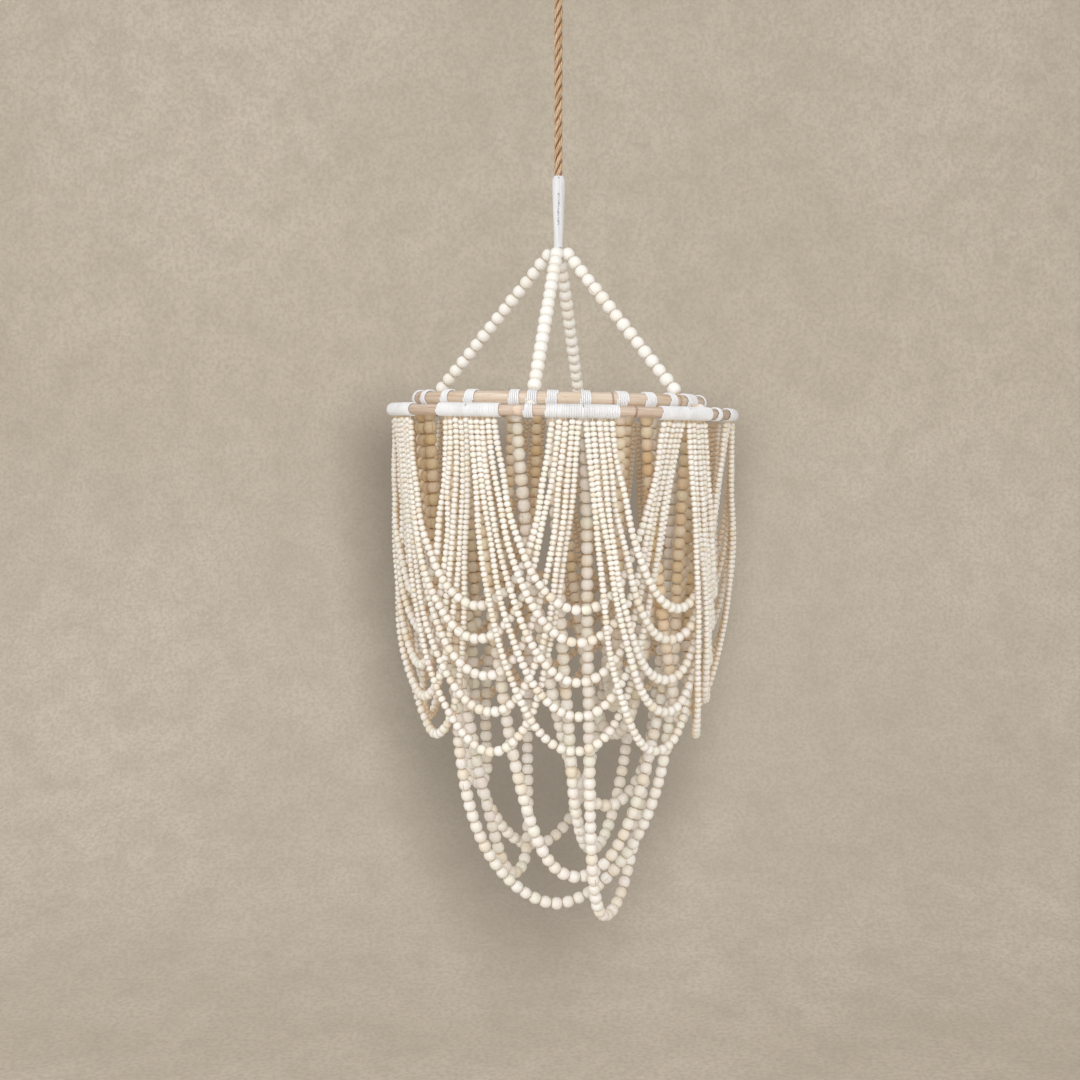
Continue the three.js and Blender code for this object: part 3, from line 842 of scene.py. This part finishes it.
def bead_template(name, outline, sides):
    """A bead of unit width and length along Z, with a dimple at each end where its hole is."""
    half = np.array(outline, float)
    mesh = grid_mesh(name, revolved([*half, *(half[::-1] * [1, -1])], sides) / MM)
    depth = half[0][1] - 0.07
    mesh.vertices[-2].co.z = depth
    mesh.vertices[-1].co.z = -depth
    for unused in ("run", "round"):
        mesh.attributes.remove(mesh.attributes[unused])
    spots = np.zeros(len(mesh.vertices) * 3)
    mesh.vertices.foreach_get("co", spots)
    mesh.attributes.new("place", "FLOAT_VECTOR", "POINT").data.foreach_set("vector", spots)
    return linked(name, mesh)


large_outline = [(0.19, 0.486), (0.355, 0.405), (0.458, 0.25), (0.502, 0.085)]
small_outline = [(0.18, 0.484), (0.34, 0.395), (0.455, 0.25), (0.502, 0.085)]
large = (bead_template("large_bead_shape", large_outline, 12), large_wood)
small = (bead_template("small_bead_shape", small_outline, 9), small_wood)


def beads(name, strands, kind, thread_radius, seed, ages_and_shades=None):
    """Strands of beads as one mesh. The last argument holds how brown each bead is, for every strand;
    -1 is bleached, and brown is painted shade with some tone of the bead's own.
    """
    points, girths, spans, ways = zip(*strands)
    ages_and_shades = ages_and_shades or [np.zeros(len(strand)) for strand in points]
    mesh = line_mesh(points, girth=girths, span=spans, lie=ways, age=ages_and_shades)
    values = {"thread_radius": thread_radius * MM, "thread": bead_thread, "seed": seed}
    return grown(name, threaded_beads, mesh, bead=kind[0], wood=kind[1], **values)


def wound(name, path, reach, turns, steps_per_turn, radius, finish, seed, looseness=0, **more):
    """Cord wound along a path. reach is how far its middle lies from the path, for each point."""
    reach = np.broadcast_to(np.asarray(reach, float), len(path)) * MM
    values = {
        "turns": float(turns),
        "steps": int(turns * steps_per_turn) + 1,
        "cord_radius": radius * MM,
        "looseness": looseness * MM,
    }
    more = {"strands": 1, "sides": 6, "yarns": 1, "yarn_relief": 0.0, "yarn_pitch": 1.0, **more}
    line = line_mesh([path], reach=[reach])
    return grown(name, wound_cord, line, finish=finish, seed=seed, **values, **more)


def bound(name, heights, reach, turns, steps_per_turn, cord, seed, looseness, core):
    """Cotton wound upright over a turned core."""
    more = (cord / 2, white_cotton, seed, looseness)
    winding = wound(name, upright(heights), reach, turns, steps_per_turn, *more)
    return joined(name, [winding, turned("core", core, 24, white_cotton)])


def laid_rope(name, path, seed):
    """Three twisted jute strands along a path."""
    strand = rope_fullness * strand_share
    turns = lengths(path)[-1] / rope_lay
    more = {"yarns": yarns, "yarn_relief": yarn_relief * MM, "yarn_pitch": -yarn_pitch * MM}
    reach = rope_fullness / 2 - strand
    return wound(name, path, reach, turns, 56, strand, jute, seed, strands=3, sides=21, **more)


# The rope, with its eye and whipping
def eye_path():
    """The eye's centre line: up one leg, over the hook's wire and down the other."""
    centre = wire_height + hook_wire / 2 + wound_gap + rope_diameter / 2 - eye_bend
    throat = whipping_top + seat_gap
    half = [
        (eye_leg, whipping_top - eye_buried),
        (eye_leg, throat + eye_bend * 0.3),
        (eye_leg * 1.3, throat + eye_bend * 0.7),
        *arc(eye_bend, (-20, 5, 30, 55, 80, 90), centre),
    ]
    whole = [(-y, z) for y, z in half] + half[-2::-1]
    return smoothed(np.array([[0, y, z] for y, z in whole]), 120)


def make_whipping():
    """Cotton wound over a core, full at the top and drawn in at its foot."""
    full = whipping_diameter / 2 - 1.1
    heights = np.linspace(whipping_top - 1, whipping_foot + 1, 40)
    reach = np.interp(np.linspace(0, 1, 40), [0, 0.12, 0.5, 0.82, 1], [full - 1.1, full, full, 9.2, 7.2])
    turns = (whipping_top - whipping_foot) / whipping_pitch
    core = [
        (2, whipping_top - 0.2), (8.6, whipping_top - 0.6),
        (9, whipping_foot + 10), (6.6, whipping_foot + 1.2), (2, whipping_foot + 0.4),
    ]
    return bound("eye_whipping_wound", heights, reach, turns, 22, whipping_cord, 5, 0.3, core)


rope_path = upright(np.linspace(rope_foot, rope_top, 33))
rope = laid_rope("rope_laid", rope_path, 3)
eye = laid_rope("rope_eye_laid", eye_path(), 4)
whipping = make_whipping()
hung(eye, "eye", "jute_rope", "rope_eye")
hung(whipping, "eye", "cotton", "eye_whipping")
hung(rope, "rope_line", "jute_rope", "rope")


# Sleeve: a cotton tube sewn up its front and drawn in at its foot
def sleeve_radius(height):
    top, foot = sleeve_top / 2, sleeve_foot / 2
    shares = [0, 0.008, 0.025, 0.05, 0.09, 0.3, 0.6, 0.88, 1]
    shoulder = [top * share for share in (0.74, 0.84, 0.93, 0.985, 1, 0.98, 0.9)]
    return np.interp((sleeve_high - height) / sleeve_length, shares, [*shoulder, foot * 1.03, foot])


def make_sleeve():
    rng = np.random.default_rng(11)
    sides, count = 64, 110
    heights = np.linspace(sleeve_high + 1.2, sleeve_low, count)
    angles = np.arange(sides) * TURN / sides
    turn, height = np.meshgrid(angles, heights)
    radius = sleeve_radius(height)
    for _ in range(7):
        a, b = rng.integers(1, 5), rng.uniform(0.02, 0.09)
        radius += 0.13 * np.sin(a * turn + b * height + rng.uniform(0, TURN))
    low = np.clip((sleeve_low + gather_length - height) / gather_length, 0, 1)
    radius += 0.25 * low * np.sin(9 * turn + 0.03 * height)
    from_seam = np.minimum(turn, TURN - turn) * sleeve_top / 2
    radius += seam_rise * bump(from_seam, 0.9) - 0.35 * bump(from_seam - 1.9, 0.7)
    inner = round_point(angles, sleeve_mouth / 2, sleeve_high + 0.6)[None]
    under = round_point(angles, 2.5, sleeve_low + 0.2)[None]
    rings = np.concatenate([inner, round_point(turn, radius, height), under])[:, ::-1]
    return placed(grid_mesh("sleeve_sewn", rings), cloth)


def stitch(path, radius):
    """A short thread with rounded ends, along points in millimetres."""
    path = smoothed(np.array(path, float), 3 * len(path))
    side = unit(np.cross(np.gradient(path, axis=0), [0.3, 1, 0.2]))
    swell = np.sin(np.linspace(0.25, pi - 0.25, len(path))) ** 0.35 * radius
    return placed(grid_mesh("stitch", tube(path, side, swell, 6)), dark_thread)


def make_stitches():
    """Zigzag stitches over the seam, from a third of the way down, and the tack near the sleeve's mouth."""
    rng = np.random.default_rng(12)
    pieces = []
    for i in range(stitch_count):
        z = sleeve_high - stitch_start - stitch_pitch * i + rng.uniform(-0.3, 0.3)
        wide = 1.15 + rng.uniform(-0.25, 0.25)
        middle = 0.35 * sin(i * 0.7) + (0.25 if i < 4 else -0.15)
        for lean in (1, -1) if i % 3 == 0 else (1,):
            path = []
            for x, height in [(-wide * lean, z - 1.7), (0, z), (wide * lean, z + 1.7)]:
                r = float(sleeve_radius(height)) + 0.9
                path.append((x + middle, -sqrt(r * r - x * x), height))
            pieces.append(stitch(path, stitch_radius))
    z = sleeve_high - 2.6
    r = float(sleeve_radius(z)) + seam_rise
    pieces.append(stitch([(-0.9, -r, z + 0.3), (0, -r - 0.1, z), (0.9, -r, z - 0.3)], tack_radius))
    return joined("sleeve_stitches", pieces)


hung(make_sleeve(), "rope_line", "cotton", "sleeve")
hung(make_stitches(), "rope_line", "cotton")

# Crown: the knot that gathers the four cords, and the four strings of large beads
knot_middle = sleeve_low - seat_gap - knot_height / 2


def make_knot():
    """A ball of wound cotton over a core, a little squashed."""
    share = np.linspace(-1, 1, 30)
    reach = (knot_diameter - 2.4) / 2 * np.sqrt(np.clip(1 - (0.96 * share) ** 2, 0, 1))
    heights = knot_middle - share * (knot_height - 1.6) / 2
    core = [(max(r - 0.6, 0.6), z) for r, z in zip(reach[::3], heights[::3])]
    return bound("crown_knot_wound", heights, reach, knot_turns, 26, knot_cord, 6, 0.8, core)


def suspension_string(name, degrees, seed):
    angle = radians(degrees)
    seat = upper_cane / 2 + cotton_wall + wound_gap
    foot = on_ring(angle, upper)
    start = round_point(angle, knot_diameter / 2 + 4.4 * 0.375, knot_middle)
    way = unit(foot - start)
    pitch = (np.linalg.norm(foot - start) - seat) / string_beads
    centres = start + np.outer((np.arange(string_beads) + 0.5) * pitch - string_lift, way)
    inner = round_point(angle, 2, knot_middle)
    girths = string_bead * np.random.default_rng(seed).uniform(0.95, 1.03, string_beads)
    spans = np.full(string_beads, pitch)
    ways = np.tile(way, (string_beads, 1))
    strand = threaded(inner, centres, foot - way * (upper_cane / 2), girths, spans, ways)
    return beads(name, [strand], large, 1.5, seed, [-np.ones(string_beads + 2)])


hung(make_knot(), "shade", "cotton", "crown_knot")
for number, (side, degrees) in enumerate(string_degrees.items()):
    string = suspension_string("bead_string_" + side, degrees, 20 + number)
    hung(string, "shade", "large_beads", "suspension_string_" + side)


# Rings
def cane_ring(name, ring, sides, count, knuckles, material, seed, cut=None):
    """A bent cane: a little out of round, with knuckles, and a slanted lap joint where cut is an angle."""
    radius, height, shift, thickness = ring
    rng = np.random.default_rng(seed)
    turns = np.arange(count) * TURN / count
    turn, way = np.meshgrid(turns, np.arange(sides) * TURN / sides, indexing="ij")

    def arc_from(degrees):
        return ((turn - radians(degrees) + pi) % TURN - pi) * radius

    thick = np.full(turn.shape, thickness / 2)
    for wave in (2, 3, 5, 9, 14):
        thick += 0.09 * np.sin(wave * turn + rng.uniform(0, TURN)) * np.cos(way + rng.uniform(0, TURN))
    knuckle = np.zeros(turn.shape)
    for place in knuckles:
        away = arc_from(place) + 0.5 * np.sin(way * 2 + place)
        thick += 0.45 * bump(away, 3.2) - 0.75 * bump(away, 0.75)
        knuckle += bump(away, 1.2)
    bare = np.zeros(turn.shape)
    if cut is not None:
        away = arc_from(cut)
        front = np.cos(way - 0.35)
        edge = away - 4.5 * np.clip(1 - front, 0, 1)
        inside = 1 / (1 + np.exp(-edge / 0.25))
        bare = inside * np.clip((11 - away) / 3, 0, 1) * np.clip(front * 2.2 + 0.4, 0, 1)
        thick -= 0.55 * bare + 0.6 * bump(edge, 0.5) * np.clip(front + 0.5, 0, 1)
        knuckle += 0.9 * bump(edge, 0.55) * np.clip(front + 0.4, 0, 1)
    wobble = 0.5 * np.sin(3 * turn + 1.3) + 0.35 * np.sin(5 * turn + 0.4)
    drift = 0.3 * np.sin(2 * turn + 0.7)
    reach = radius + wobble + thick * np.cos(way)
    rings = askew(round_point(turn, reach, height + drift + thick * np.sin(way)), shift)
    mesh = grid_mesh(name, rings, True, knuckle=np.clip(knuckle, 0, 1), cut=bare)
    run = (turns * radius * MM).repeat(sides)
    mesh.attributes["run"].data.foreach_set("value", run)
    return placed(mesh, material)


outer_ring = cane_ring("outer_cane_ring", outer, 20, 900, outer_knuckles, pink_cane, 31, lap_joint)
upper_ring = cane_ring("upper_cane_ring", upper, 22, 760, upper_knuckles, pale_cane, 32)
hung(outer_ring, "shade", "pink_cane", "outer_ring")
hung(upper_ring, "shade", "pale_cane", "upper_ring")


# Cotton wound on the rings
def wrap(start, end, ring, seed, looseness=0.25, thick=cotton):
    """A close winding of cotton round a ring, from one angle to another."""
    path = on_ring(np.linspace(start, end, 30), ring)
    reach = ring[3] / 2 + thick / 2 + 0.1
    turns = abs(end - start) * ring[0] / (thick * 0.97)
    return wound("wrap", path, reach, turns, 18, thick / 2, white_cotton, seed, looseness)


def lashing(degrees, ring, width, seed):
    half = width / 2 / ring[0]
    angle = radians(degrees)
    return wrap(angle - half, angle + half, ring, seed, 0.7, lashing_cotton)


def ring_tie(side, seed):
    """A lashing on each ring, and the cord between them with its bead."""
    high = on_ring(radians(string_degrees[side]), upper)
    low = on_ring(radians(tie_degrees[side]), outer)
    way = unit(low - high)
    start = high + way * (upper_cane / 2 + 1)
    end = low - way * (outer_cane / 2 + 1)
    strand = threaded(start, [(start + end) / 2], end, [tie_bead], [tie_bead_length], [way])
    pieces = [
        lashing(string_degrees[side], upper, tie_widths[0], seed),
        lashing(tie_degrees[side], outer, tie_widths[1], seed + 1),
        beads("tie_bead", [strand], large, 2, seed),
    ]
    return joined("ring_tie_wound_" + side, pieces)


for number, side in enumerate(string_degrees):
    hung(ring_tie(side, 60 + 2 * number), "shade", "cotton", "ring_tie_" + side)


# The curtain
def swag_path(centre, number):
    spare = (strands_in_set - 0.5 - number) * (end_pitch / outer_radius)
    half = TURN / set_count - spare
    drop = curtain_drop * swag_drop_shares[number]
    inset = curtain_inset * swag_inset_shares[number]
    top = under_ring(outer)
    along, depth = hanging_chain(outer_radius * sin(half), drop)
    turn = np.arctan2(along, outer_radius * cos(half))
    drawn_in = inset * depth ** np.where(along < 0, over_power, under_power)
    return askew(round_point(centre + turn, outer_radius - drawn_in, top - drop * depth), outer_shift)


def swag_girth(here, total):
    """Small beads down the sides, growing toward the foot, where they are nearly round."""
    away = abs(here - total / 2)
    share = min(max(1 - (away - growth_start) / growth_length, 0), 1) ** 1.5
    return small_bead + (foot_bead - small_bead) * share


def swag_span(girth):
    return girth * (0.8 + 0.15 * (girth - small_bead) / (foot_bead - small_bead))


def swag_set(index):
    rng = np.random.default_rng(500 + index)
    step = TURN / set_count
    centre = first_wrap + index * step
    reach = wrap_length / 2 / outer_radius
    strands = []
    for number in range(strands_in_set):
        path = wandering(swag_path(centre, number), rng, swag_stray, swag_slump)
        strands.append(strung(path, swag_girth, swag_span, 1.6, rng))
    name = f"swag_set_beads_{index + 1:02d}"
    pieces = [beads(name, strands, small, 0.8, 100 + index)]
    for side, seed in ((-1, 200), (1, 220)):
        pieces.append(wrap(centre + side * (step - reach), centre + side * step, outer, seed + index))
    return joined(name, pieces)


for index in range(set_count):
    hung(swag_set(index), "shade", "small_beads", f"swag_set_{index + 1:02d}")


# Inner loops of large beads
def loop_path(first, last, drop_share, full_share, sway_share, push_share):
    """A loop between two lashings: full sideways, swayed along its span and pushed across it at its foot."""
    ends = radians(lashing_degrees[first]), radians(lashing_degrees[last])
    a, b = round_point(np.array(ends), upper_radius, under_ring(upper))
    half = np.linalg.norm(b - a) / 2
    along_way = (b - a) / (2 * half)
    across_way = np.array([-along_way[1], along_way[0], 0])
    drop = loop_drop * drop_share
    along, depth = hanging_chain(half, drop)
    low = depth**2
    full = full_share * (4**4 / 3**3) * low * depth * (1 - depth)
    shift = full * np.sign(along) + sway_share * low
    path = (a + b) / 2 + np.outer(along + shift * upper_radius, along_way)
    path += np.outer(push_share * low * upper_radius, across_way)
    path[:, 0] += loop_lean * low
    path[:, 2] -= drop * depth
    return askew(path, upper_shift)


def loop_shade(height):
    """A loop is painted browner above the curtain's foot, as painted shade where the curtain shades it."""
    share = np.clip((height - (ring_height - curtain_drop)) / (0.5 * curtain_drop), 0, 1)
    return 0.1 + 0.9 * share * share * (3 - 2 * share)


def inner_loop(index, shares):
    name = f"inner_loop_beads_{index + 1:02d}"
    rng = np.random.default_rng(400 + index)
    *form, brown_and_shade = shares
    path = wandering(loop_path(*form), rng, loop_stray)
    strand = strung(path, lambda here, total: loop_bead, lambda girth: girth * 0.97, 2, rng, 0.06)
    # The loop's beads are painted browner, as painted shade inside the curtain.
    pieces = [beads(name, [strand], large, 1.3, 300 + index, [brown_and_shade * loop_shade(strand[0][:, 2])])]
    for end, i in enumerate(form[:2]):
        width = rng.uniform(*lashing_widths)
        pieces.append(lashing(lashing_degrees[i], upper, width, 420 + 2 * index + end))
    return joined(name, pieces)


for index, shares in enumerate(loop_shares):
    hung(inner_loop(index, shares), "shade", "large_beads", f"inner_loop_{index + 1:02d}")


# Ceiling fitting
def ceiling_plate():
    rim = plate_diameter / 2
    boss = boss_diameter / 2
    under = -plate_thickness
    end = under - boss_height
    outline = [
        (0.1, -0.02), (rim - 0.3, -0.02), (rim, -0.3),
        (rim, under + plate_edge), (rim - 0.35, under + 0.35), (rim - plate_edge, under),
        (boss + 1, under), (boss + 0.2, under - 0.3), (boss, under - 1.2),
        (boss, end + 0.8), (boss - 0.8, end), (0.1, end),
    ]
    return turned("ceiling_plate_turned", outline, 96, steel)


def plate_screw(side, name):
    """A domed slotted head over the plate. Its shank is hidden in the plate."""
    head = screw_head / 2
    shank = screw_hole / 2 - 0.45
    seat = -plate_thickness - seat_gap
    outline = [
        (0.1, -0.3), (shank, -0.3), (shank, seat), (head, seat), (head, seat - 0.8),
        (head * 0.86, seat - screw_head_height * 0.66),
        (head * 0.6, seat - screw_head_height * 0.92),
        (0.1, seat - screw_head_height),
    ]
    screw = turned(name, outline, 32, steel)
    bpy.ops.mesh.primitive_cube_add(size=1)
    slot_tool = bpy.context.active_object
    slot_tool.scale = (screw_head * 1.3 * MM, screw_slot * MM, 2 * screw_slot_depth * MM)
    slot_tool.location = (0, 0, (seat - screw_head_height) * MM)
    cut = screw.modifiers.new("slot", "BOOLEAN")
    cut.operation = "DIFFERENCE"
    cut.solver = "EXACT"
    cut.object = slot_tool
    applied(screw)
    bpy.data.objects.remove(slot_tool)
    screw.data.transform(Matrix.Translation((side * screw_spacing / 2 * MM, 0, 0)))
    return screw


def ceiling_hook():
    """A bent steel wire with a ball tip, and a collar where it screws into the boss."""
    top = -plate_thickness - boss_height - seat_gap
    bend_top = hook_centre + hook_bend
    corners = [(0, top), (0, (top + bend_top) / 2), (0, bend_top + hook_wire / 2)]
    corners += arc(hook_bend, (*range(115, 341, 25), 370), hook_centre)
    path = smoothed(np.array([[x, 0, z] for x, z in corners], float), 90)
    radius = np.full(len(path), hook_wire / 2)
    radius[lengths(path) < collar_length] += collar_rise
    rings = tube(path, np.tile([0, 1, 0], (len(path), 1)), radius, 20)
    wire = placed(grid_mesh("ceiling_hook_bent", rings), steel)
    ball = [(max(r, 0.05), z) for r, z in arc(hook_tip / 2, np.linspace(90, -90, 15))]
    tip = turned("hook_tip", ball, 24, steel)
    tip.data.transform(Matrix.Translation(Vector(path[-1] * MM)))
    return joined("ceiling_hook_bent", [wire, tip])


hung(ceiling_plate(), "ceiling_fitting", "steel", "ceiling_plate")
hung(plate_screw(-1, "plate_screw_turned_left"), "ceiling_fitting", "steel", "plate_screw_left")
hung(plate_screw(1, "plate_screw_turned_right"), "ceiling_fitting", "steel", "plate_screw_right")
hung(ceiling_hook(), "ceiling_fitting", "steel", "ceiling_hook")

for template, _ in (large, small):
    bpy.data.objects.remove(template)


# Studio: a pale floor that sweeps up into a backdrop, and soft light
def studio_plaster():
    """Mottled plaster with a painted shadow: a soft dark shape behind the shade, as a front light
    would throw on a wall close behind it.
    """
    m = Finish("studio_plaster", 0.95, Specular_IOR_Level=0.05)
    place = m.place()
    clouds = m.noise(place, 0.9)
    mottle = m.noise(place, 9, 4, 0.6)
    grain = m.noise(place, 95, 2)
    wash = m.blend(clouds.between(0.3, 0.7), rgb(213, 203, 188), rgb(225, 215, 201))
    wear_and_shade = m.blend(mottle.between(0.3, 0.8) * 0.55, wash, rgb(198, 188, 173))
    plaster = m.blend(grain.between(0.3, 0.75) * 0.55, wear_and_shade, rgb(190, 180, 165))
    # Painted shadow: a soft dark shape that lies behind the shade, as seen from the camera.
    x, y, z = m.parts(place)
    nearer = camera_distance * MM / (y + camera_distance * MM)
    across = (x * nearer + 0.018) / 0.27
    below = (ring_height - camera_height) * MM - (z - camera_height * MM) * nearer
    down = below / 0.76
    painted_shadow = (across * across + down * down).between(1.45, 0.55) * down.between(-0.08, 0.08)
    return m.finished(m.blend(painted_shadow * 0.75, plaster, rgb(140, 131, 120)))


def backdrop():
    floor, wall, sweep = -2.15, 2.7, 1.6
    near, top, half_width = -7, 5, 9
    rise = [(wall - sweep + y, z) for y, z in arc(sweep, np.linspace(-90, 0, 25), floor + sweep)]
    outline = [(near, floor), *rise, (wall, top)]
    vertices = [(x, y, z) for y, z in outline for x in (-half_width, half_width)]
    faces = [(2 * i, 2 * i + 1, 2 * i + 3, 2 * i + 2) for i in range(len(outline) - 1)]
    mesh = bpy.data.meshes.new("studio_backdrop")
    mesh.from_pydata(vertices, [], faces)
    mesh.shade_smooth()
    return placed(mesh, studio_plaster())


def soft_light(name, place, size, power):
    """A square lamp that looks at the middle of the shade."""
    light = bpy.data.lights.new(name, "AREA")
    light.size = size
    light.energy = power
    light.color = lamp_colour
    lamp = linked(name, light)
    lamp.visible_camera = False
    lamp.location = place
    lamp.rotation_euler = (shade_middle - Vector(place)).to_track_quat("-Z", "Y").to_euler()


shade_middle = Vector((0, 0, -0.95))
lamp_colour = (0.945, 0.973, 1)
backdrop()
soft_light("key", (-2.5, -2.7, 0.5), 2.4, 46)
soft_light("fill", (1.8, -3.3, -0.2), 2.4, 24)
soft_light("front", (0.16, -2.3, -0.6), 0.3, 14)
world = bpy.data.worlds.new("studio")
bpy.context.scene.world = world
world.use_nodes = True
sky = world.node_tree.nodes["Background"].inputs
sky["Color"].default_value = (1, 0.972, 0.93, 1)
sky["Strength"].default_value = 0.66
